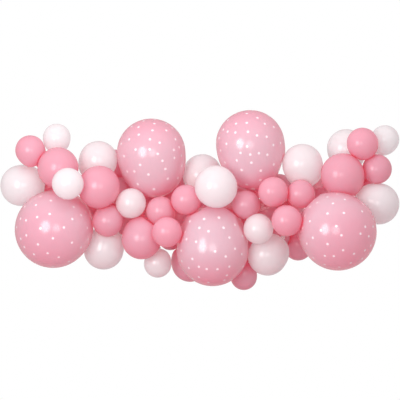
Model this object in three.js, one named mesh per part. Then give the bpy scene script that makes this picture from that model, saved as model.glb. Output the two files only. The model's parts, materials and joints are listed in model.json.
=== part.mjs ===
// Balloon garland: tied latex balloons of three sizes along a wavy hanging strip.
// Millimetres, +Z up, front towards -Y. The origin is on the back face of the strip, half-way along.
import * as THREE from 'three';

// Clear space between two pieces that touch.
const GAP = 0.3;

// The neck half and the neck of a balloon as balls: how far their centres are past the end of the
// body, and their radii, over the radius of the balloon.
const NECK_BALLS = [
  { past: -0.78, radius: 0.78 },
  { past: 0.12, radius: 0.16 },
];

// Share of the two radii that touching balloons keep between their centres.
const PRESS = 0.985;

// Depth the garland gathers towards, how near a balloon must be to cling to another,
// and the most it may leave its place in the front view.
const MIDDLE_DEPTH = -50;
const CLING = 12;
const STRAY = 1.5;

// Shape of a balloon by size: length of the neck half over the radius, and the number of segments
// around it and of rows in its crown and neck halves.
const SIZES = {
  large: { stretch: 1.3, around: 15, crownRows: 5, neckRows: 4 },
  medium: { stretch: 1.16, around: 11, crownRows: 4, neckRows: 3 },
  small: { stretch: 1.12, around: 9, crownRows: 3, neckRows: 2 },
};

// Power of the cosine that gives the neck half its width: 1 is an ellipse, and less is fuller.
const FULLNESS = 0.8;

// Tied end of a balloon, as shares of its diameter: distance past the end of the body, then radius.
const NECK = [
  [0.14, 0.06],
  [0.07, 0.028],
];

// Half-width of a balloon at points from the end of its body outwards, over its radius, and the
// least half-width that a neck needs to pass another balloon.
const NECK_GIRTHS = [0.36, 0.24, 0.13, 0.13, 0.13];
const NECK_GIRTH = 0.16;

// Least clear space between a neck and the strip.
const STRIP_CLEAR = 3;

// Each balloon: across, up, starting depth and diameter, then, where its neck half shows, the heading
// of the neck in the front view, in degrees from the right, and how far it leans to the back.
const DOTTED = [
  [-573, -127, -60, 299, 40, 2],
  [-190, 173, -60, 268, -85, 0.05],
  [48, -208, -80, 280, 90, 0.15],
  [194, 205, -60, 268, -88, 0.05],
  [535, -137, -80, 300, 135, 2],
];

const WHITE = [
  [-700, 46, 0, 160],
  [-557, 232, 0, 108],
  [-514, 52, -170, 123],
  [-398, 144, -10, 150],
  [-269, -24, -130, 116],
  [-375, -206, -10, 156],
  [-165, -261, -10, 107],
  [11, 92, 20, 152],
  [61, 42, -160, 164],
  [227, -124, -170, 116],
  [400, 127, -30, 158],
  [264, -230, -60, 154, 50, 0.2],
  [571, 191, 0, 151],
  [722, 224, -20, 112],
  [697, -27, -10, 161, 160, 0.2],
];

const PINK = [
  [-663, 182, -10, 116],
  [-551, 112, -60, 160],
  [-392, 42, -90, 162],
  [-358, -95, -110, 119],
  [-228, -167, -90, 154, 97, 0.2],
  [-152, -56, -90, 115],
  [-129, -135, -160, 118],
  [-53, -10, -100, 117],
  [-38, -261, 60, 144],
  [171, -313, 30, 103],
  [180, -29, -110, 112],
  [283, 20, -130, 117],
  [390, 12, -110, 111],
  [338, -92, -130, 119],
  [384, -193, -10, 111],
  [555, 84, -70, 170],
  [631, 210, -90, 122],
  [690, 110, -20, 115],
  [-330, 123, 60, 125],
  [-320, 18, 60, 124],
  [-78, -78, 20, 98],
  [310, 38, 60, 107],
  [261, -64, 20, 112],
  [460, 35, 60, 101],
  [-286, -95, 60, 116],
  [-212, -29, 60, 108],
  [-100, 38, 60, 118],
  [144, -14, 60, 116],
  [352, -38, 60, 118],
  [632, 43, 60, 98],
  [308, -152, 40, 92],
  [183, -209, 60, 92],
  [-6, -46, 40, 74],
  [-600, 36, 60, 84],
  [158, -93, 60, 84],
  [190, 30, 60, 84],
  [-117, -160, 40, 94],
  [-425, -52, 40, 92],
];

// Centre line of the strip: across, up.
const STRIP_LINE = [
  [-592, 52],
  [-450, 42],
  [-300, -26],
  [-180, -78],
  [0, 0],
  [200, -46],
  [430, 40],
  [650, 108],
];
const STRIP_WIDTH = 30;
const STRIP_THICKNESS = 1;
const STRIP_STEPS = 24;
const CENTRE_STEPS = 160;
const HOLE_RADIUS = 5;
const HOLE_PITCH = 120;
const HOLE_QUARTERS = 4;

const COLOURS = { dotted: 0xf2b3c6, pink: 0xf4a6bc, white: 0xf3eaea, strip: 0xe9eef0 };

// Places on the strip that are kept clear behind, where the garland is hung: across, up.
const HANGING_PLACES = [
  [-480, 46],
  [0, 0],
  [560, 80],
];
const HANGING_DEPTH = 120;
const HANGING_SIDE = 20;
const HANGING_STEP = 15;

// The strip's centre line, and points on it about 8 mm apart.
const STRIP_CURVE = new THREE.CatmullRomCurve3(
  STRIP_LINE.map(([across, up]) => new THREE.Vector3(across, 0, up)),
  false,
  'centripetal',
);
const CENTRE_LINE = STRIP_CURVE.getSpacedPoints(CENTRE_STEPS);

// Points on both edges and the middle of the strip, and behind the places where it is hung.
function keepOutPoints() {
  const points = [];
  CENTRE_LINE.forEach((point, index) => {
    const next = CENTRE_LINE[Math.min(index + 1, CENTRE_LINE.length - 1)];
    const last = CENTRE_LINE[Math.max(index - 1, 0)];
    const along = next.clone().sub(last).normalize();
    const side = new THREE.Vector3(-along.z, 0, along.x).multiplyScalar(STRIP_WIDTH / 2);
    points.push(point, point.clone().add(side), point.clone().sub(side));
  });
  for (const [across, up] of HANGING_PLACES) {
    for (let depth = HANGING_STEP; depth <= HANGING_DEPTH; depth += HANGING_STEP) {
      points.push(new THREE.Vector3(across, depth, up));
      points.push(new THREE.Vector3(across - HANGING_SIDE, depth, up));
      points.push(new THREE.Vector3(across + HANGING_SIDE, depth, up));
    }
  }
  return points;
}

const KEEP_OUT = keepOutPoints();

// Direction of a neck that shows at a heading in the front view and leans to the back.
function aimOf(heading, lean) {
  const angle = (heading * Math.PI) / 180;
  return new THREE.Vector3(Math.cos(angle), lean, Math.sin(angle)).normalize();
}

// Balloons of one kind, named and numbered in the order listed.
function listBalloons(kind, rows) {
  return rows.map(([across, up, depth, diameter, heading, lean], index) => {
    let size = 'small';
    if (diameter > 140) size = 'medium';
    if (diameter > 250) size = 'large';
    const centre = new THREE.Vector3(across, depth, up);
    return {
      name: `${kind}_balloon_${index + 1}`,
      kind,
      size,
      radius: diameter / 2,
      centre,
      place: centre.clone(),
      aim: heading === undefined ? null : aimOf(heading, lean),
      neckWay: null,
      neckPoints: [],
    };
  });
}

// Point of the strip's centre line nearest to a point.
function nearestOnStrip(point) {
  let best = CENTRE_LINE[0];
  for (const candidate of CENTRE_LINE) {
    if (candidate.distanceToSquared(point) < best.distanceToSquared(point)) best = candidate;
  }
  return best;
}

// The balls that stand for a balloon while it settles: its belly, and its neck where that shows.
function ballsOf(balloon) {
  const { centre, radius, size, aim } = balloon;
  const balls = [{ centre, radius }];
  if (aim) {
    for (const ball of NECK_BALLS) {
      const along = (SIZES[size].stretch + ball.past) * radius;
      const middle = centre.clone().addScaledVector(aim, along);
      balls.push({ centre: middle, radius: ball.radius * radius });
    }
  }
  return balls;
}

// Part two balloons in depth where they are closer than pressed contact, or draw them together if near.
function pairUp(a, b, clinging) {
  const share = b.radius ** 2 / (a.radius ** 2 + b.radius ** 2);
  for (const first of ballsOf(a)) {
    for (const second of ballsOf(b)) {
      const apart = second.centre.clone().sub(first.centre);
      const far = apart.length();
      const reach = PRESS * (first.radius + second.radius);
      if (far < reach) {
        const flat = Math.hypot(apart.x, apart.z);
        const short = Math.sqrt(Math.max(reach * reach - flat * flat, 0)) - Math.abs(apart.y);
        const way = apart.y >= 0 ? 1 : -1;
        a.centre.y -= way * short * share;
        b.centre.y += way * short * (1 - share);
      } else if (clinging && far < reach + CLING) {
        const pull = (0.2 * (far - reach)) / far;
        a.centre.addScaledVector(apart, pull * share);
        b.centre.addScaledVector(apart, -pull * (1 - share));
      }
    }
  }
}

// Push a balloon off the strip in depth, and hold it near its place in the front view.
function holdPlace(balloon) {
  const { centre, place, radius, size } = balloon;
  const onLine = nearestOnStrip(new THREE.Vector3(centre.x, 0, centre.z));
  const beside = Math.max(Math.hypot(centre.x - onLine.x, centre.z - onLine.z) - STRIP_WIDTH / 2, 0);
  const reach = radius * (size === 'large' ? 1 : SIZES[size].stretch) + STRIP_THICKNESS + GAP;
  if (beside < reach) {
    const room = Math.sqrt(reach * reach - beside * beside);
    const side = centre.y > 0 ? 1 : -1;
    if (Math.abs(centre.y) < room) centre.y = side * (0.5 * Math.abs(centre.y) + 0.5 * room);
  }
  const strayed = Math.hypot(centre.x - place.x, centre.z - place.z);
  if (strayed > STRAY) {
    centre.x = place.x + ((centre.x - place.x) * STRAY) / strayed;
    centre.z = place.z + ((centre.z - place.z) * STRAY) / strayed;
  }
}

// Let the balloons find their depths: gather to the middle, cling to near ones, then part.
function settle(balloons) {
  for (let round = 0; round < 900; round += 1) {
    const gathering = round < 300;
    const clinging = round >= 300 && round < 600;
    for (let i = 0; i < balloons.length; i += 1) {
      for (let j = i + 1; j < balloons.length; j += 1) pairUp(balloons[i], balloons[j], clinging);
    }
    for (const balloon of balloons) {
      holdPlace(balloon);
      if (gathering) balloon.centre.y += 0.03 * (MIDDLE_DEPTH - balloon.centre.y);
    }
  }
}

// How far a balloon's body reaches from its centre towards a point.
function bodyReach(balloon, point) {
  if (!balloon.neckWay) return balloon.radius;
  const towards = point.clone().sub(balloon.centre).normalize();
  const lean = Math.max(towards.dot(balloon.neckWay), 0);
  return balloon.radius * (1 + (SIZES[balloon.size].stretch - 1) * lean ** 1.5);
}

// Points along the tied end of a balloon for a neck that points one way.
function neckAlong(balloon, way) {
  const { centre, radius, size } = balloon;
  const start = (SIZES[size].stretch - 0.05) * radius;
  const points = [];
  for (let step = 0; step < NECK_GIRTHS.length; step += 1) {
    points.push(centre.clone().addScaledVector(way, start + 0.08 * step * radius));
  }
  return points;
}

// Least clear space around the neck and body of a balloon for a neck that points one way.
function clearance(balloon, way, balloons) {
  const { radius } = balloon;
  const girth = NECK_GIRTH * radius;
  const points = neckAlong(balloon, way);
  const trial = { ...balloon, neckWay: way };
  let least = Infinity;
  for (const point of KEEP_OUT) {
    const bodyGap = point.distanceTo(balloon.centre) - bodyReach(trial, point);
    least = Math.min(least, bodyGap);
    points.forEach((own, step) => {
      least = Math.min(least, own.distanceTo(point) - NECK_GIRTHS[step] * radius - STRIP_CLEAR);
    });
  }
  for (const other of balloons) {
    if (other === balloon) continue;
    for (const own of points) {
      least = Math.min(least, own.distanceTo(other.centre) - bodyReach(other, own) - girth);
      for (const theirs of other.neckPoints) {
        least = Math.min(least, own.distanceTo(theirs) - girth - NECK_GIRTH * other.radius);
      }
    }
    for (const theirs of other.neckPoints) {
      const bodyGap = theirs.distanceTo(balloon.centre) - bodyReach(trial, theirs);
      least = Math.min(least, bodyGap - NECK_GIRTH * other.radius);
    }
  }
  return least;
}

// Point each neck the way it shows, or at the strip, tilted only as far as it takes to pass the
// other pieces.
function placeNeck(balloon, balloons) {
  const toStrip = nearestOnStrip(balloon.centre).clone().sub(balloon.centre).normalize();
  const aim = balloon.aim ?? toStrip;
  const across = new THREE.Vector3(0, 0, 1).cross(aim);
  if (across.length() < 0.1) across.set(1, 0, 0);
  across.normalize();
  let best = null;
  for (let tilt = 0; tilt <= 150 && !best; tilt += 10) {
    for (let turn = 0; turn < 16; turn += 1) {
      const way = aim.clone().applyAxisAngle(across, (tilt * Math.PI) / 180);
      way.applyAxisAngle(aim, (turn * Math.PI) / 8);
      if (way.y < -0.15 && balloon.centre.y < 0) continue;
      const clear = clearance(balloon, way, balloons);
      if (clear > 1 && (!best || clear > best.clear)) best = { way, clear };
      if (tilt === 0) break;
    }
  }
  if (!best) throw new Error(`no room for the neck of ${balloon.name}`);
  balloon.neckWay = best.way;
  balloon.neckPoints = neckAlong(balloon, best.way);
}

// Outline of a balloon from its tied end on the axis to its crown on the axis: radius, height.
function balloonProfile(balloon) {
  const { radius } = balloon;
  const { stretch, crownRows, neckRows } = SIZES[balloon.size];
  const points = [new THREE.Vector2(0, -(stretch + 2 * NECK[0][0]) * radius)];
  for (const [past, width] of NECK) {
    points.push(new THREE.Vector2(2 * width * radius, -(stretch + 2 * past) * radius));
  }
  for (let row = neckRows; row > 0; row -= 1) {
    const angle = (row / (neckRows + 0.6)) * (Math.PI / 2);
    const width = radius * Math.cos(angle) ** FULLNESS;
    points.push(new THREE.Vector2(width, -stretch * radius * Math.sin(angle)));
  }
  for (let row = 0; row < crownRows; row += 1) {
    const angle = (row / crownRows) * (Math.PI / 2);
    points.push(new THREE.Vector2(radius * Math.cos(angle), radius * Math.sin(angle)));
  }
  points.push(new THREE.Vector2(0, radius));
  return points;
}

// Distance from a balloon's centre to the wall between it and a neighbour: half-way where the two
// press on each other, and otherwise the spare room shared as far as each neck half leans into it.
function wallTowards(balloon, other) {
  const far = balloon.centre.distanceTo(other.centre);
  const spare = far - balloon.radius - other.radius;
  const own = bodyReach(balloon, other.centre) - balloon.radius;
  const theirs = bodyReach(other, balloon.centre) - other.radius;
  const leaning = own + theirs;
  const share = spare > 0 && leaning > 0 ? own / leaning : 0.5;
  return balloon.radius + spare * share - GAP / 2;
}

// Press a balloon's body flat wherever it would pass the wall to a neighbour.
function pressFlat(position, rows, balloon, balloons) {
  const vertex = new THREE.Vector3();
  for (let index = 0; index < position.count; index += 1) {
    if (index % rows <= NECK.length) continue;
    vertex.fromBufferAttribute(position, index);
    let keep = 1;
    for (const other of balloons) {
      if (other === balloon) continue;
      const apart = other.centre.clone().sub(balloon.centre).normalize();
      const wall = wallTowards(balloon, other);
      const towards = vertex.dot(apart);
      if (towards > wall) keep = Math.min(keep, wall / towards);
    }
    vertex.multiplyScalar(keep);
    position.setXYZ(index, vertex.x, vertex.y, vertex.z);
  }
}

// One balloon as a closed body of its own.
function balloonMesh(balloon, balloons, material) {
  const points = balloonProfile(balloon);
  const geometry = new THREE.LatheGeometry(points, SIZES[balloon.size].around);
  const up = new THREE.Vector3(0, 1, 0);
  const turn = new THREE.Quaternion().setFromUnitVectors(up, balloon.neckWay.clone().negate());
  geometry.applyQuaternion(turn);
  pressFlat(geometry.attributes.position, points.length, balloon, balloons);
  const mesh = new THREE.Mesh(geometry, material);
  mesh.name = balloon.name;
  mesh.position.copy(balloon.centre);
  return mesh;
}

// The clear strip with its row of tying holes.
function stripMesh(material) {
  const upper = [];
  const lower = [];
  for (let step = 0; step <= STRIP_STEPS; step += 1) {
    const point = STRIP_CURVE.getPointAt(step / STRIP_STEPS);
    const along = STRIP_CURVE.getTangentAt(step / STRIP_STEPS);
    const middle = new THREE.Vector2(point.x, point.z);
    const side = new THREE.Vector2(-along.z, along.x).multiplyScalar(STRIP_WIDTH / 2);
    upper.push(middle.clone().add(side));
    lower.push(middle.clone().sub(side));
  }
  const shape = new THREE.Shape([...lower, ...upper.reverse()]);
  const count = Math.floor(STRIP_CURVE.getLength() / HOLE_PITCH);
  for (let hole = 0; hole < count; hole += 1) {
    const centre = STRIP_CURVE.getPointAt((hole + 0.5) / count);
    const path = new THREE.Path();
    path.absarc(centre.x, centre.z, HOLE_RADIUS, 0, 2 * Math.PI, true);
    shape.holes.push(path);
  }
  const options = { depth: STRIP_THICKNESS, bevelEnabled: false, curveSegments: HOLE_QUARTERS };
  const geometry = new THREE.ExtrudeGeometry(shape, options);
  geometry.rotateX(Math.PI / 2);
  const mesh = new THREE.Mesh(geometry, material);
  mesh.name = 'hanging_strip';
  return mesh;
}

const balloons = [
  ...listBalloons('dotted', DOTTED),
  ...listBalloons('white', WHITE),
  ...listBalloons('pink', PINK),
];
settle(balloons);
const bySize = [...balloons].sort((a, b) => b.radius - a.radius);
for (const balloon of bySize) placeNeck(balloon, balloons);

const group = new THREE.Group();
const materials = {};
for (const [kind, color] of Object.entries(COLOURS)) {
  materials[kind] = new THREE.MeshStandardMaterial({ color, roughness: 0.3, name: kind });
}
for (const balloon of balloons) group.add(balloonMesh(balloon, balloons, materials[balloon.kind]));
group.add(stripMesh(materials.strip));

export default group;
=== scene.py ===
"""Balloon garland: latex balloons in three finishes, tied along a clear hanging strip."""

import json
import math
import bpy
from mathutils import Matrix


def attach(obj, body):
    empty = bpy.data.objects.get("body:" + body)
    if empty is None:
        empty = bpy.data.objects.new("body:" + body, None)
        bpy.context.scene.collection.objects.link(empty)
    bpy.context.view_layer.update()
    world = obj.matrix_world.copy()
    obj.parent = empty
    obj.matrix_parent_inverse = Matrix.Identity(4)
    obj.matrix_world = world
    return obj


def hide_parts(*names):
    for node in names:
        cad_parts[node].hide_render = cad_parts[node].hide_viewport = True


bl_info = {
    "name": "Balloon garland",
    "version": (1, 0, 0),
    "blender": (4, 5, 0),
    "location": "View3D > Sidebar > Garland",
    "description": "Dresses the solids of a balloon garland in latex skins, dots and light",
    "category": "Object",
}

import bpy
import numpy as np

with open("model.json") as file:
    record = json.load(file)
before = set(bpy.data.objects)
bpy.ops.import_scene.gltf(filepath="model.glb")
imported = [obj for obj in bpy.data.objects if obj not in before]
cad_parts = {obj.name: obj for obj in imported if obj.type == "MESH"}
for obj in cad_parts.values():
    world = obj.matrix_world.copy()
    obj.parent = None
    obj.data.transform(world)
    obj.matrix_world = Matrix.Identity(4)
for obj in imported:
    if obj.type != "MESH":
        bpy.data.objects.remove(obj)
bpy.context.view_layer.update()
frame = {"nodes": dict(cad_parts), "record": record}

# Share of the farthest distance from a solid's middle past which its points are the lip.
LIP_SHARE = 0.95

# Length of the neck half over the radius, by the least radius it holds for, in metres.
STRETCH = ((0.125, 1.3), (0.07, 1.16), (0.0, 1.12))

# Power of the cosine that gives the neck half's width: below 1 it is fuller than an egg.
FULLNESS = 0.8

# Angle past the widest place at which the body's outline goes over into the neck.
BODY_END = math.radians(76)

# The tied end of the solids: how far its lip is past the body and the lip's radius, over the radius.
LIP_PAST = 0.28
LIP_RADIUS = 0.12

# Power of the cosine in how far a neck half reaches past its radius to one side.
LEAN_POWER = 1.5

# Clear space between two pressed balloons, in metres.
PRESS_GAP = 0.0003

# How balloons press: walls nearer than this, over the radius, count; the least cosine at which a
# point faces a wall; how soft the rim of a pressed face is, over the radius; and no wall at all.
WALL_REACH = 1.5
LEAST_FACING = 0.05
RIM_SOFTNESS = 0.006
NO_WALL = 1000.0

# Width of the crevices that get a painted glow, the light that neighbours pass and throw painted into
# the colour, in metres, and the share of that painted glow that a pearl neighbour gives.
PAINTED_GLOW_WIDTH = 0.012
PEARL_GLOW_SHARE = 0.4

# Pleats towards the knot: their depth over the width, where they start and how long they take to
# reach it, over the radius, their number and how far they twist.
PLEAT_DEPTH = 0.07
PLEAT_START = -0.22
PLEAT_LENGTH = 0.25
PLEATS = 9
PLEAT_TWIST = 5.0

# The tail is squeezed flat: where that starts, over what length, how much wider and thinner.
FLAT_START = 0.12
FLAT_LENGTH = 0.1
FLAT_WIDER = 0.12
FLAT_THINNER = 0.45

# A direction that no neck follows, to turn each outline from.
TURN_FROM = (0.31, 0.87, 0.39)

# Points around a balloon, rows along its body and steps between the places of its tied end.
LARGE_GRID = (96, 56, 3)
SMALL_GRID = (72, 40, 3)
LARGE_STRETCH = 1.2

# Places along the tied end: distance past the body's end and half-width, over the radius.
NECK_PROFILE = (
    (0.0, 0.19),
    (0.025, 0.115),
    (0.05, 0.095),
    (0.075, 0.125),
    (0.105, 0.128),
    (0.13, 0.092),
    (0.155, 0.06),
    (0.19, 0.066),
    (0.235, 0.092),
    (0.262, 0.116),
    (0.278, 0.126),
    (0.288, 0.118),
    (0.28, 0.098),
    (0.25, 0.05),
)


# Scatter of the printed dots: directions to choose from, choices for each dot, and the cosine to
# the neck past which there are none.
DOT_DIRECTIONS = 4000
DOT_CHOICES = 14
DOT_FREE_NECK = 0.9

# Latex: width of the clouds of an uneven dip in metres, how much they change the skin's depth of
# colour and its roughness, and the range of the noise that they take up.
CLOUD_WIDTH = 0.0303
CLOUD_DEPTH = 0.05
CLOUD_ROUGHNESS = 0.03
CLOUD_RANGE = (0.3, 0.7)

# Ink: half the width of a dot's soft edge in metres, and the share of light that it lets through.
INK_EDGE = 0.0015
INK_TRANSLUCENCY = 0.1

# Where the latex is thick: start and length of the rise along the neck half, over its length, and
# start of the rise towards the crown, over the radius, with its power.
NECK_THICK_START = 0.3
NECK_THICK_LENGTH = 0.75
CROWN_THICK_START = 0.1
CROWN_THICK_POWER = 1.5

# Finishes: roughness and IOR of the skin, weight of its gloss, share of light that passes through
# it, and how thick the crown is beside the knot.
DOTTED_FINISH = {"roughness": 0.21, "ior": 1.7, "coat": 1.0, "translucency": 0.46, "crown": 0.55}
PINK_FINISH = {"roughness": 0.23, "ior": 1.55, "coat": 0.6, "translucency": 0.52, "crown": 0.15}
PEARL_FINISH = {"roughness": 0.22, "ior": 1.6, "coat": 0.8, "translucency": 0.5, "crown": 0.1}

# Strip: IOR of its plastic, how much of it is seen, width of its scuffs in metres and the
# roughness between and on them.
STRIP_IOR = 1.49
STRIP_ALPHA = 0.15
SCUFF_WIDTH = 0.00833
SCUFF_ROUGHNESS = (0.12, 0.4)

# Softboxes: direction from the garland, distance and size, in metres.
KEY_SOFTBOX = ((-0.51, -0.855, 0.1), 3.2, (1.4, 1.8))
FILL_SOFTBOX = ((0.02, -0.99, 0.05), 3.4, (1.4, 1.4))
TOP_SOFTBOX = ((0.0, -0.5, 0.87), 3.0, (4.0, 3.0))

# Half the floor's width and depth in metres, the camera's height, its sensor in millimetres and
# how far it sees.
FLOOR_HALF = (1.3, 0.8)
CAMERA_HEIGHT = -0.0117
CAMERA_SENSOR = 36.0
CAMERA_REACH = 200.0
WHITE = (1.0, 1.0, 1.0, 1.0)


def linear(code):
    """Linear colour of an sRGB hex code: each channel is undone from its gamma curve."""
    channels = np.array([int(code[i : i + 2], 16) for i in (1, 3, 5)]) / 255.0
    low = channels / 12.92
    high = ((channels + 0.055) / 1.055) ** 2.4
    return tuple(np.where(channels <= 0.04045, low, high).tolist())


def colour_property(name, description, code):
    """A colour that a user can change, with an sRGB hex code as its default."""
    return bpy.props.FloatVectorProperty(
        name=name,
        description=description,
        subtype="COLOR",
        min=0.0,
        max=1.0,
        default=linear(code),
    )


class LatexSettings(bpy.types.PropertyGroup):
    """Colours of the three latex finishes, of the painted glow in their crevices and of the strip."""

    pink: colour_property(
        "Pink", "Skin of the plain pink balloons", "#E8CADC"
    )
    pink_through: colour_property(
        "Pink, through", "Light that has passed through pink latex", "#FFA2B1"
    )
    pink_thick: colour_property(
        "Pink, thick", "Pink latex where it is little stretched, at neck and crown", "#F89AB2"
    )
    dotted: colour_property(
        "Dotted", "Skin of the dotted balloons", "#E6D9E6"
    )
    dotted_through: colour_property(
        "Dotted, through", "Light that has passed through dotted latex", "#FFAAB8"
    )
    dotted_thick: colour_property(
        "Dotted, thick", "Dotted latex where it is little stretched, at neck and crown", "#F2ACC4"
    )
    # Painted glow: the light that pink neighbours pass and throw, painted into the colour of latex
    # they shut in.
    painted_crevice_glow: colour_property(
        "Pink crevices", "Pink latex close to its neighbours, lit through them", "#FF7A8E"
    )
    ink: colour_property(
        "Ink", "White ink of the printed dots", "#FCEAEF"
    )
    pearl: colour_property(
        "Pearl", "Skin of the pearl-white balloons", "#F1EEF1"
    )
    pearl_through: colour_property(
        "Pearl, through", "Light that has passed through pearl latex", "#FFFBFB"
    )
    pearl_thick: colour_property(
        "Pearl, thick", "Pearl latex where it is little stretched, at neck and crown", "#F5ECEC"
    )
    # Painted reflection: the pink that pink neighbours throw onto pearl latex, painted into its colour
    # where they shut it in.
    pearl_painted_crevice_glow: colour_property(
        "Pearl crevices", "Pearl latex close to its pink neighbours, lit through them", "#FFDFE4"
    )
    strip: colour_property(
        "Strip", "Clear plastic of the hanging strip", "#F4F0F0"
    )


class DotSettings(bpy.types.PropertyGroup):
    """Printed dots of the large balloons."""

    diameter: bpy.props.FloatProperty(
        name="Dot diameter",
        description="Width of one printed dot",
        unit="LENGTH",
        default=0.0098,
    )
    count: bpy.props.IntProperty(
        name="Dots",
        description="Dots on one balloon",
        default=80,
    )
    seed: bpy.props.IntProperty(
        name="Seed",
        description="Start of the dots' scatter",
        default=7,
    )


class StageSettings(bpy.types.PropertyGroup):
    """Floor, lights and camera."""

    floor_drop: bpy.props.FloatProperty(
        name="Floor drop",
        description="Height of the garland's origin above the floor",
        unit="LENGTH",
        default=1.25,
    )
    floor_paint: colour_property(
        "Floor paint", "Rose paint that throws a little pink up", "#E0B4BA"
    )
    key_power: bpy.props.FloatProperty(
        name="Key power",
        description="Power of the tall softbox on the left, in watts",
        default=46.0,
    )
    fill_power: bpy.props.FloatProperty(
        name="Fill power",
        description="Power of the soft light beside the camera, in watts",
        default=18.0,
    )
    top_power: bpy.props.FloatProperty(
        name="Top power",
        description="Power of the wide light above the camera, in watts",
        default=54.0,
    )
    room_light: bpy.props.FloatProperty(
        name="Room light",
        description="Brightness of the white room around the garland",
        default=0.66,
    )
    light_bounces: bpy.props.IntProperty(
        name="Light bounces",
        description="How many skins light can pass or be thrown back by",
        default=16,
    )
    camera_distance: bpy.props.FloatProperty(
        name="Camera distance",
        description="From the camera to the strip",
        unit="LENGTH",
        default=30.0,
    )
    frame_width: bpy.props.FloatProperty(
        name="Frame width",
        description="Width of the picture at the strip",
        unit="LENGTH",
        default=1.56,
    )


def curve_through(knots, steps):
    """Points on a Catmull-Rom curve: each stretch is a cubic that leaves and reaches its knots
    with half the step between their neighbours as its slope."""
    p = np.asarray(knots, float)
    p = np.vstack([2 * p[0] - p[1], p, 2 * p[-1] - p[-2]])
    t = np.linspace(0.0, 1.0, steps, endpoint=False)[None, :, None]
    before, start, end, after = (p[i : len(p) - 3 + i, None, :] for i in range(4))
    cubic = 2 * start + (end - before) * t
    cubic = cubic + (2 * before - 5 * start + 4 * end - after) * t**2
    cubic = cubic + (3 * start - before - 3 * end + after) * t**3
    return np.vstack([0.5 * cubic.reshape(-1, p.shape[1]), p[-2:-1]])


def read_balloon(name):
    """Centre, neck direction, radius and stretch of a balloon, read off its solid: the points
    farthest from the middle of its skin are its lip, a flat ring whose normal is its axis."""
    mesh = frame["nodes"][name].data
    points = np.empty(len(mesh.vertices) * 3)
    mesh.vertices.foreach_get("co", points)
    points = points.reshape(-1, 3)
    faces = np.empty(len(mesh.polygons) * 3)
    mesh.polygons.foreach_get("center", faces)
    areas = np.empty(len(mesh.polygons))
    mesh.polygons.foreach_get("area", areas)
    middle = areas @ faces.reshape(-1, 3) / areas.sum()
    far = np.linalg.norm(points - middle, axis=1)
    ring = points[far > LIP_SHARE * far.max()]
    lip = ring.mean(0)
    way = np.linalg.svd(ring - lip)[2][2]
    way = way * np.sign(way @ (lip - middle))
    radius = np.linalg.norm(ring - lip, axis=1).max() / LIP_RADIUS
    stretch = next(length for least, length in STRETCH if radius > least)
    centre = lip - way * (stretch + LIP_PAST) * radius
    return {"name": name, "centre": centre, "way": way, "radius": radius, "stretch": stretch}


def balloon_profile(stretch, body_rows, neck_steps):
    """Outline from crown to lip over the radius: a half circle, then a full half egg of the given
    stretch, its width a power of the cosine, then the knot, tail and rolled lip."""
    angle = np.linspace(-math.pi / 2, BODY_END, body_rows)
    rise = np.sin(angle)
    along = np.where(rise < 0, rise, stretch * rise)
    width = np.clip(np.cos(angle), 0.0, 1.0) ** np.where(rise < 0, 1.0, FULLNESS)
    body = np.column_stack([along, width])
    neck = np.array(NECK_PROFILE) + [stretch, 0.0]
    tail = curve_through(np.vstack([body[-2:], neck]), neck_steps)[neck_steps + 1 :]
    return np.vstack([body, tail])


def neck_lean(balloons, towards):
    """How far each balloon's neck half reaches past its radius in a direction: its extra length
    times a power of the cosine between the direction and its neck."""
    radii = np.array([balloon["radius"] for balloon in balloons])
    extra = np.array([balloon["stretch"] for balloon in balloons]) - 1
    ways = np.array([balloon["way"] for balloon in balloons])
    return radii * extra * np.clip((ways * towards).sum(1), 0.0, 1.0) ** LEAN_POWER


def press(points, balloon, others):
    """Pull each point towards the centre until it keeps to its own side of the wall to every
    neighbour, with a soft minimum so that the pressed face has a rounded rim. A wall is half-way
    between two that press on each other. Else the room between them is shared as their necks lean."""
    reach = np.linalg.norm(points, axis=1)
    towards = points / reach[:, None]
    apart = np.array([other["centre"] - balloon["centre"] for other in others])
    gaps = np.linalg.norm(apart, axis=1)
    radii = np.array([other["radius"] for other in others])
    spare = gaps - balloon["radius"] - radii
    own = neck_lean([balloon] * len(others), apart / gaps[:, None])
    leaning = own + neck_lean(others, -apart / gaps[:, None])
    share = np.where((spare > 0) & (leaning > 0), own / np.maximum(leaning, 1e-9), 0.5)
    walls = balloon["radius"] + spare * share - PRESS_GAP / 2
    near = walls < WALL_REACH * balloon["radius"]
    facing = towards @ (apart[near] / gaps[near, None]).T
    room = walls[near] / np.maximum(facing, LEAST_FACING)
    limits = np.where(facing > LEAST_FACING, room, NO_WALL)
    soft = RIM_SOFTNESS * balloon["radius"]
    stack = np.column_stack([reach, limits])
    least = stack.min(1)
    kept = least - soft * np.log(np.exp(-(stack - least[:, None]) / soft).sum(1))
    return towards * kept[:, None]


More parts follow.
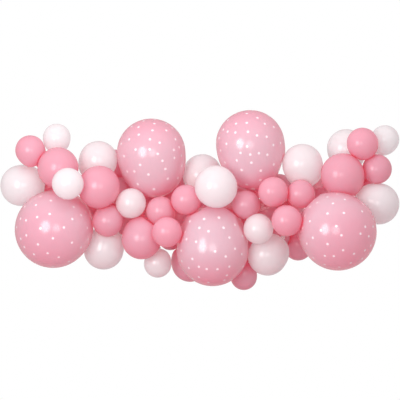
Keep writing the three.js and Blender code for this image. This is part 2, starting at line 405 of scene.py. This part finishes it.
def balloon_surface(balloon, others, around, body_rows, neck_steps):
    """Grid of a balloon: its outline turned about the axis, pleated towards the knot by a cosine
    of the turn, flattened in the tail, and pressed by its neighbours on the body alone."""
    radius = balloon["radius"]
    profile = balloon_profile(balloon["stretch"], body_rows, neck_steps)
    along = profile[1:-1, 0]
    width = profile[1:-1, 1]
    turn = np.linspace(0.0, 2 * math.pi, around, endpoint=False)
    past = along - balloon["stretch"]
    pleat = PLEAT_DEPTH * np.clip((past - PLEAT_START) / PLEAT_LENGTH, 0.0, 1.0) ** 2
    ripple = 1 + pleat[:, None] * np.cos(PLEATS * turn + PLEAT_TWIST * past[:, None])
    flat = np.clip((past - FLAT_START) / FLAT_LENGTH, 0.0, 1.0)
    wide = width[:, None] * ripple * np.cos(turn) * (1 + FLAT_WIDER * flat[:, None])
    deep = width[:, None] * ripple * np.sin(turn) * (1 - FLAT_THINNER * flat[:, None])
    way = balloon["way"]
    side = np.cross(way, TURN_FROM)
    side = side / np.linalg.norm(side)
    up = np.cross(way, side)
    grid = along[:, None, None] * way + wide[..., None] * side + deep[..., None] * up
    points = np.vstack([profile[0, 0] * way, grid.reshape(-1, 3), profile[-1, 0] * way]) * radius
    body = np.arange(len(points)) < 1 + (body_rows - 1) * around
    points[body] = press(points[body], balloon, others)
    rows = len(along)
    index = 1 + np.arange(rows * around).reshape(rows, around)
    following = np.roll(index, -1, axis=1)
    quads = np.stack([index[:-1], following[:-1], following[1:], index[1:]], -1).reshape(-1, 4)
    crown = np.column_stack([np.zeros(around, int), following[0], index[0]])
    last = np.full(around, rows * around + 1)
    cap = np.column_stack([last, index[-1], following[-1]])
    ends = np.array([-1.0, balloon["stretch"] + LIP_PAST])
    thick = np.concatenate([ends[:1], np.repeat(along, around), ends[1:]])
    return points, quads, np.vstack([crown, cap]), thick


def dot_directions(count, seed, way):
    """Directions of the printed dots: each new dot is the one of many random directions that
    lies farthest from the dots already placed, kept off the neck."""
    rng = np.random.default_rng(seed)
    tries = rng.normal(size=(DOT_DIRECTIONS, 3))
    tries = tries / np.linalg.norm(tries, axis=1)[:, None]
    tries = tries[tries @ way < DOT_FREE_NECK]
    chosen = [tries[0]]
    for step in range(count - 1):
        pool = tries[rng.integers(0, len(tries), DOT_CHOICES)]
        closeness = (pool @ np.array(chosen).T).max(1)
        chosen.append(pool[closeness.argmin()])
    return np.array(chosen)


def ink_offsets(mesh, points, balloon, directions):
    """Step from a dot's centre to each corner of each face, measured on the balloon's round skin.
    All corners of one face step from the dot that is nearest to the face."""
    vertices = np.empty(len(mesh.loops), np.int32)
    mesh.loops.foreach_get("vertex_index", vertices)
    starts = np.empty(len(mesh.polygons), np.int32)
    mesh.polygons.foreach_get("loop_start", starts)
    corners = points[vertices] / np.linalg.norm(points[vertices], axis=1)[:, None]
    middles = np.add.reduceat(corners, starts)
    nearest = (middles @ directions.T).argmax(1)
    face = np.repeat(np.arange(len(starts)), np.diff(np.append(starts, len(vertices))))
    return (corners - directions[nearest[face]]) * balloon["radius"]


def add_mesh(name, points, quads, triangles, material):
    """A new mesh object at the origin from grid points and faces."""
    mesh = bpy.data.meshes.new(name)
    mesh.from_pydata(points.tolist(), [], quads.tolist() + triangles.tolist())
    mesh.polygons.foreach_set("use_smooth", np.ones(len(mesh.polygons), bool))
    mesh.materials.append(material)
    mesh.update()
    obj = bpy.data.objects.new(name, mesh)
    bpy.context.scene.collection.objects.link(obj)
    return obj


def add_node(tree, kind, settings=(), values=(), links=()):
    """Add one shader node, with its settings, socket values and incoming links."""
    node = tree.nodes.new(kind)
    for key, value in dict(settings).items():
        setattr(node, key, value)
    for key, value in dict(values).items():
        node.inputs[key].default_value = value
    for key, socket in dict(links).items():
        tree.links.new(socket, node.inputs[key])
    return node


def opaque(colour):
    """A colour with full alpha."""
    return (*colour, 1.0)


def latex_material(name, colours, finish, ink=None):
    """Dipped latex, blown thin: a satin skin that lets a little light in, deeper in colour where it is
    least stretched, with a painted glow where its neighbours shut it in, and faint clouds 30 mm wide
    where the dip was uneven."""
    material = bpy.data.materials.new(name)
    material.use_nodes = True
    tree = material.node_tree
    shader = tree.nodes["Principled BSDF"]
    stretch = add_node(tree, "ShaderNodeAttribute", {"attribute_name": "thickness"})
    place = add_node(tree, "ShaderNodeTexCoord")
    clouds = add_node(
        tree,
        "ShaderNodeTexNoise",
        {},
        {"Scale": 1 / CLOUD_WIDTH, "Detail": 2.0},
        {"Vector": place.outputs["Object"]},
    )
    uneven = add_node(
        tree,
        "ShaderNodeMapRange",
        {},
        {
            "From Min": CLOUD_RANGE[0],
            "From Max": CLOUD_RANGE[1],
            "To Min": -CLOUD_DEPTH,
            "To Max": CLOUD_DEPTH,
        },
        {"Value": clouds.outputs["Fac"]},
    )
    depth = add_node(
        tree,
        "ShaderNodeMath",
        {"operation": "ADD", "use_clamp": True},
        {},
        {0: stretch.outputs["Fac"], 1: uneven.outputs["Result"]},
    )
    colour = add_node(
        tree,
        "ShaderNodeMix",
        {"data_type": "RGBA"},
        {"A": opaque(colours["skin"]), "B": opaque(colours["thick"])},
        {"Factor": depth.outputs["Value"]},
    )
    # Painted glow: where neighbours shut the skin in, its colour is mixed towards the crevice colour,
    # which stands in for the light they pass and throw.
    closeness = add_node(tree, "ShaderNodeAttribute", {"attribute_name": "closeness"})
    crevices = add_node(
        tree,
        "ShaderNodeMix",
        {"data_type": "RGBA"},
        {"B": opaque(colours["painted_crevice_glow"])},
        {"Factor": closeness.outputs["Fac"], "A": colour.outputs["Result"]},
    )
    shown = crevices.outputs["Result"]
    passing = None
    if ink is not None:
        offset = add_node(tree, "ShaderNodeAttribute", {"attribute_name": "ink_offset"})
        distance = add_node(
            tree,
            "ShaderNodeVectorMath",
            {"operation": "LENGTH"},
            {},
            {0: offset.outputs["Vector"]},
        )
        edge = ink["diameter"] / 2
        inside = add_node(
            tree,
            "ShaderNodeMapRange",
            {"interpolation_type": "SMOOTHSTEP"},
            {
                "From Min": edge - INK_EDGE,
                "From Max": edge + INK_EDGE,
                "To Min": 1.0,
                "To Max": 0.0,
            },
            {"Value": distance.outputs["Value"]},
        )
        printed = add_node(
            tree,
            "ShaderNodeMix",
            {"data_type": "RGBA"},
            {"B": opaque(ink["colour"])},
            {"Factor": inside.outputs["Result"], "A": shown},
        )
        shown = printed.outputs["Result"]
        passing = add_node(
            tree,
            "ShaderNodeMapRange",
            {},
            {"To Min": finish["translucency"], "To Max": INK_TRANSLUCENCY},
            {"Value": inside.outputs["Result"]},
        )
    tree.links.new(shown, shader.inputs["Base Color"])
    rough = add_node(
        tree,
        "ShaderNodeMapRange",
        {},
        {
            "To Min": finish["roughness"] - CLOUD_ROUGHNESS,
            "To Max": finish["roughness"] + CLOUD_ROUGHNESS,
        },
        {"Value": clouds.outputs["Fac"]},
    )
    tree.links.new(rough.outputs["Result"], shader.inputs["Roughness"])
    shader.inputs["IOR"].default_value = finish["ior"]
    shader.inputs["Coat Weight"].default_value = finish["coat"]
    shader.inputs["Coat Roughness"].default_value = finish["roughness"]
    through = add_node(
        tree,
        "ShaderNodeBsdfTranslucent",
        {},
        {"Color": opaque(colours["through"])},
    )
    skin = add_node(
        tree,
        "ShaderNodeMixShader",
        {},
        {0: finish["translucency"]},
        {1: shader.outputs["BSDF"], 2: through.outputs["BSDF"]},
    )
    if passing is not None:
        tree.links.new(passing.outputs["Result"], skin.inputs[0])
    tree.links.new(skin.outputs["Shader"], tree.nodes["Material Output"].inputs["Surface"])
    return material


def thickness_of(along, stretch, crown_share):
    """How little the latex is stretched, from 0 on the belly to 1 at the knot: it rises with the
    square of the way along the neck half, and by a share of that towards the crown."""
    neck = np.clip((along / stretch - NECK_THICK_START) / NECK_THICK_LENGTH, 0.0, 1.0) ** 2
    crown = np.clip(CROWN_THICK_START - along, 0.0, 1.0) ** CROWN_THICK_POWER
    return neck + crown_share * crown


def closeness_of(placed, others):
    """How far each point is shut in by its neighbours, from 0 to 1, the mask of the painted crevice
    glow:
    each one adds the square of how much of the crevice width is left between its round body and the
    point, less if it is pearl."""
    centres = np.array([other["centre"] for other in others])
    radii = np.array([other["radius"] for other in others])
    shares = np.array([PEARL_GLOW_SHARE if "white" in other["name"] else 1.0 for other in others])
    gaps = np.linalg.norm(placed[:, None, :] - centres[None, :, :], axis=2) - radii
    near = shares * np.clip(1 - gaps / PAINTED_GLOW_WIDTH, 0.0, 1.0) ** 2
    return 1 - np.prod(1 - near, axis=1)


def balloons_of(slot):
    """Names of the balloons that take one material slot, in the record's order."""
    return [row["node"] for row in frame["record"]["subparts"] if row["material_slot"] == slot]


BALLOONS = [
    read_balloon(name)
    for slot in ("dotted_latex", "pearl_latex", "pink_latex")
    for name in balloons_of(slot)
]


def make_balloon(balloon, material, crown_share, dots=None):
    """One balloon's skin on its solid's place, riding with the garland."""
    others = [other for other in BALLOONS if other is not balloon]
    grid = LARGE_GRID if balloon["stretch"] > LARGE_STRETCH else SMALL_GRID
    points, quads, ends, along = balloon_surface(balloon, others, *grid)
    placed = points + balloon["centre"]
    obj = add_mesh(balloon["name"] + "_skin", placed, quads, ends, material)
    thickness = obj.data.attributes.new("thickness", "FLOAT", "POINT")
    thickness.data.foreach_set("value", thickness_of(along, balloon["stretch"], crown_share))
    # Mask of the painted crevice glow: how far the neighbours shut each point in.
    closeness = obj.data.attributes.new("closeness", "FLOAT", "POINT")
    closeness.data.foreach_set("value", closeness_of(placed, others))
    if dots is not None:
        offsets = obj.data.attributes.new("ink_offset", "FLOAT_VECTOR", "CORNER")
        offsets.data.foreach_set("vector", ink_offsets(obj.data, points, balloon, dots).ravel())
    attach(obj, "root")
    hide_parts(balloon["name"])
    return obj


class GARLAND_OT_dotted_balloons(bpy.types.Operator):
    """Make the large dotted balloons"""

    bl_idname = "garland.dotted_balloons"
    bl_label = "Dotted balloons"

    def execute(self, context):
        latex = context.scene.garland_latex
        dots = context.scene.garland_dots
        ink = {"diameter": dots.diameter, "colour": latex.ink}
        colours = {
            "skin": latex.dotted,
            "thick": latex.dotted_thick,
            "painted_crevice_glow": latex.painted_crevice_glow,
            "through": latex.dotted_through,
        }
        # Dipped latex, blown full: glossy, with flat white dots that were printed on it.
        material = latex_material("dotted_latex_skin", colours, DOTTED_FINISH, ink)
        for number, balloon in enumerate(BALLOONS):
            if balloon["name"] in balloons_of("dotted_latex"):
                directions = dot_directions(dots.count, dots.seed + number, balloon["way"])
                make_balloon(balloon, material, DOTTED_FINISH["crown"], directions)
        return {"FINISHED"}


class GARLAND_OT_pink_balloons(bpy.types.Operator):
    """Make the plain pink balloons"""

    bl_idname = "garland.pink_balloons"
    bl_label = "Pink balloons"

    def execute(self, context):
        latex = context.scene.garland_latex
        colours = {
            "skin": latex.pink,
            "thick": latex.pink_thick,
            "painted_crevice_glow": latex.painted_crevice_glow,
            "through": latex.pink_through,
        }
        # Dipped latex, blown half full: a deeper pink with a soft gloss.
        material = latex_material("pink_latex_skin", colours, PINK_FINISH)
        for balloon in BALLOONS:
            if balloon["name"] in balloons_of("pink_latex"):
                make_balloon(balloon, material, PINK_FINISH["crown"])
        return {"FINISHED"}


class GARLAND_OT_pearl_balloons(bpy.types.Operator):
    """Make the pearl-white balloons"""

    bl_idname = "garland.pearl_balloons"
    bl_label = "Pearl balloons"

    def execute(self, context):
        latex = context.scene.garland_latex
        colours = {
            "skin": latex.pearl,
            "thick": latex.pearl_thick,
            "painted_crevice_glow": latex.pearl_painted_crevice_glow,
            "through": latex.pearl_through,
        }
        # Dipped latex with pearl pigment: milky white, with painted pink reflected light where
        # neighbours shut it in.
        material = latex_material("pearl_latex_skin", colours, PEARL_FINISH)
        for balloon in BALLOONS:
            if balloon["name"] in balloons_of("pearl_latex"):
                make_balloon(balloon, material, PEARL_FINISH["crown"])
        return {"FINISHED"}


class GARLAND_OT_hanging_strip(bpy.types.Operator):
    """Give the hanging strip its clear plastic"""

    bl_idname = "garland.hanging_strip"
    bl_label = "Hanging strip"

    def execute(self, context):
        latex = context.scene.garland_latex
        # Extruded clear plastic: all but unseen, with a sheen that is dull where it is scuffed.
        material = bpy.data.materials.new("clear_strip_plastic")
        material.use_nodes = True
        tree = material.node_tree
        shader = tree.nodes["Principled BSDF"]
        place = add_node(tree, "ShaderNodeTexCoord")
        scuffs = add_node(
            tree,
            "ShaderNodeTexNoise",
            {},
            {"Scale": 1 / SCUFF_WIDTH, "Detail": 3.0},
            {"Vector": place.outputs["Object"]},
        )
        dull = add_node(
            tree,
            "ShaderNodeMapRange",
            {},
            {"To Min": SCUFF_ROUGHNESS[0], "To Max": SCUFF_ROUGHNESS[1]},
            {"Value": scuffs.outputs["Fac"]},
        )
        tree.links.new(dull.outputs["Result"], shader.inputs["Roughness"])
        shader.inputs["Base Color"].default_value = opaque(latex.strip)
        shader.inputs["Alpha"].default_value = STRIP_ALPHA
        shader.inputs["IOR"].default_value = STRIP_IOR
        strip = frame["nodes"]["hanging_strip"]
        strip.data.materials.clear()
        strip.data.materials.append(material)
        return {"FINISHED"}


def add_light(name, direction, distance, size, power):
    """A softbox at a distance along a direction from the garland, turned to face it."""
    lamp = bpy.data.lights.new(name, "AREA")
    lamp.shape = "ELLIPSE"
    lamp.size, lamp.size_y = size
    lamp.energy = power
    obj = bpy.data.objects.new(name, lamp)
    towards = np.array(direction, float)
    towards = towards / np.linalg.norm(towards)
    obj.location = towards * distance
    obj.rotation_euler = obj.location.to_track_quat("Z", "Y").to_euler()
    obj.visible_camera = False
    bpy.context.scene.collection.objects.link(obj)
    return obj


class GARLAND_OT_stage(bpy.types.Operator):
    """Make the floor, the lights and the camera"""

    bl_idname = "garland.stage"
    bl_label = "Stage"

    def execute(self, context):
        stage = context.scene.garland_stage
        scene = context.scene
        add_light("key_softbox", *KEY_SOFTBOX, stage.key_power)
        add_light("fill_softbox", *FILL_SOFTBOX, stage.fill_power)
        top = add_light("top_softbox", *TOP_SOFTBOX, stage.top_power)
        top.visible_glossy = False
        world = bpy.data.worlds.new("white_room")
        world.use_nodes = True
        tree = world.node_tree
        room = tree.nodes["Background"]
        room.inputs["Color"].default_value = WHITE
        room.inputs["Strength"].default_value = stage.room_light
        seen = add_node(
            tree,
            "ShaderNodeBackground",
            {},
            {"Color": WHITE, "Strength": 1.0},
        )
        path = add_node(tree, "ShaderNodeLightPath")
        both = add_node(
            tree,
            "ShaderNodeMixShader",
            {},
            {},
            {0: path.outputs["Is Camera Ray"], 1: room.outputs[0], 2: seen.outputs[0]},
        )
        tree.links.new(both.outputs[0], tree.nodes["World Output"].inputs["Surface"])
        scene.world = world
        scene.view_settings.view_transform = "Standard"
        scene.cycles.max_bounces = stage.light_bounces
        scene.cycles.diffuse_bounces = stage.light_bounces
        scene.cycles.transmission_bounces = stage.light_bounces
        wide, deep = FLOOR_HALF
        corners = np.array([[-wide, -deep], [wide, -deep], [wide, deep], [-wide, deep]])
        points = np.column_stack([corners, np.full(4, -stage.floor_drop)])
        # Matt floor paint: throws a little rose light up under the balloons.
        paint = bpy.data.materials.new("rose_floor_paint")
        paint.use_nodes = True
        coating = paint.node_tree.nodes["Principled BSDF"]
        coating.inputs["Base Color"].default_value = opaque(stage.floor_paint)
        floor = add_mesh("floor", points, np.array([[0, 1, 2, 3]]), np.empty((0, 3), int), paint)
        camera = bpy.data.cameras.new("camera")
        camera.sensor_width = CAMERA_SENSOR
        camera.lens = CAMERA_SENSOR * stage.camera_distance / stage.frame_width
        camera.clip_end = CAMERA_REACH
        viewer = bpy.data.objects.new("camera", camera)
        viewer.location = (0.0, -stage.camera_distance, CAMERA_HEIGHT)
        viewer.rotation_euler = (math.pi / 2, 0.0, 0.0)
        scene.collection.objects.link(viewer)
        scene.camera = viewer
        return {"FINISHED"}


class GARLAND_PT_panel(bpy.types.Panel):
    """Buttons and settings of the garland"""

    bl_idname = "GARLAND_PT_panel"
    bl_label = "Balloon garland"
    bl_space_type = "VIEW_3D"
    bl_region_type = "UI"
    bl_category = "Garland"

    def draw(self, context):
        layout = self.layout
        for group in (
            context.scene.garland_latex,
            context.scene.garland_dots,
            context.scene.garland_stage,
        ):
            for key in group.bl_rna.properties.keys():
                if key not in ("rna_type", "name"):
                    layout.prop(group, key)
        for operator in OPERATORS:
            layout.operator(operator.bl_idname)


OPERATORS = (
    GARLAND_OT_dotted_balloons,
    GARLAND_OT_pink_balloons,
    GARLAND_OT_pearl_balloons,
    GARLAND_OT_hanging_strip,
    GARLAND_OT_stage,
)
SETTINGS = {
    "garland_latex": LatexSettings,
    "garland_dots": DotSettings,
    "garland_stage": StageSettings,
}


def register():
    """Register the settings, operators and panel."""
    for name, group in SETTINGS.items():
        bpy.utils.register_class(group)
        setattr(bpy.types.Scene, name, bpy.props.PointerProperty(type=group))
    for operator in OPERATORS:
        bpy.utils.register_class(operator)
    bpy.utils.register_class(GARLAND_PT_panel)


def unregister():
    """Undo register."""
    bpy.utils.unregister_class(GARLAND_PT_panel)
    for operator in reversed(OPERATORS):
        bpy.utils.unregister_class(operator)
    for name, group in reversed(SETTINGS.items()):
        delattr(bpy.types.Scene, name)
        bpy.utils.unregister_class(group)


def main():
    """Make every piece and the stage."""
    register()
    bpy.ops.garland.dotted_balloons()
    bpy.ops.garland.pink_balloons()
    bpy.ops.garland.pearl_balloons()
    bpy.ops.garland.hanging_strip()
    bpy.ops.garland.stage()


if __name__ == "__main__":
    main()
